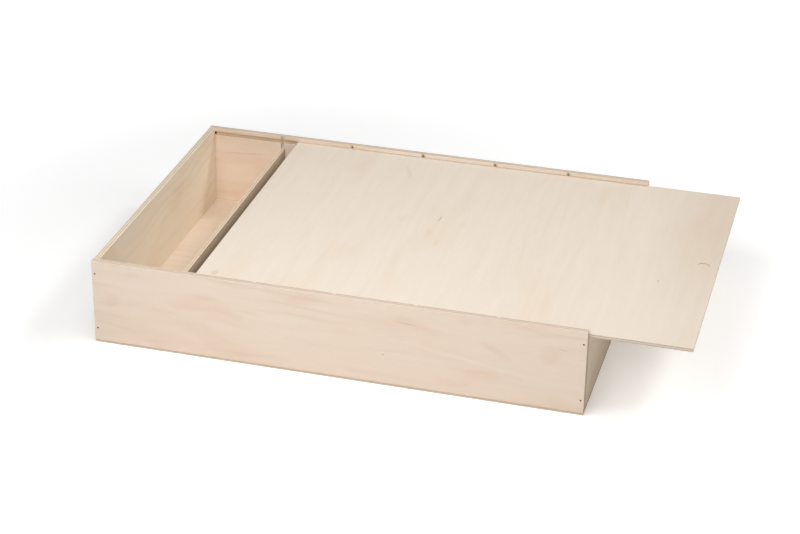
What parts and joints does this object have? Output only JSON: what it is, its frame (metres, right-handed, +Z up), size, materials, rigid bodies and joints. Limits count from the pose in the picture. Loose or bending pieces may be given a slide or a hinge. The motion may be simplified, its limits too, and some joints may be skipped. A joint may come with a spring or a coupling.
{
  "type": "wooden wine box",
  "caption": "Flat plywood box for bottles lying side by side, with a lid that slides in side grooves and lift-out dividers.",
  "frame": {"origin": "centre of the underside of the base sheet", "axes": "+X along the length, towards the low end where the lid slides out; +Y from the front side to the back side; +Z up"},
  "size_m": [0.6465, 0.375, 0.098],
  "materials": {
    "side_ply": "sanded bare plywood, pale, faint grain along the length",
    "end_ply": "sanded bare plywood, pale, faint grain across",
    "base_ply": "bare thin plywood with a browner edge",
    "lid_ply": "sanded bare plywood, very pale, soft blotches",
    "divider_ply": "bare thin plywood",
    "nail_steel": "dull dark steel, punched below the surface"
  },
  "bodies": {
    "box": {"front_side": "side_ply", "back_side": "side_ply", "closed_end": "end_ply", "low_end": "end_ply", "base": "base_ply", "front_nails": "nail_steel", "back_nails": "nail_steel", "base_nails": "nail_steel"},
    "lid": {"lid": "lid_ply"},
    "divider_1": {"divider_1": "divider_ply"},
    "divider_2": {"divider_2": "divider_ply"},
    "divider_3": {"divider_3": "divider_ply"},
    "divider_4": {"divider_4": "divider_ply"},
    "divider_5": {"divider_5": "divider_ply"}
  },
  "joints": [
    {"name": "lid_slide", "type": "slide", "parent": "box", "child": "lid", "axis": [1, 0, 0], "range_m": [-0.1065, 0.4265]},
    {"name": "divider_1_lift", "type": "slide", "parent": "box", "child": "divider_1", "axis": [0, 0, 1], "range_m": [0, 0.096]},
    {"name": "divider_2_lift", "type": "slide", "parent": "box", "child": "divider_2", "axis": [0, 0, 1], "range_m": [0, 0.007]},
    {"name": "divider_3_lift", "type": "slide", "parent": "box", "child": "divider_3", "axis": [0, 0, 1], "range_m": [0, 0.007]},
    {"name": "divider_4_lift", "type": "slide", "parent": "box", "child": "divider_4", "axis": [0, 0, 1], "range_m": [0, 0.007]},
    {"name": "divider_5_lift", "type": "slide", "parent": "box", "child": "divider_5", "axis": [0, 0, 1], "range_m": [0, 0.007]}
  ]
}
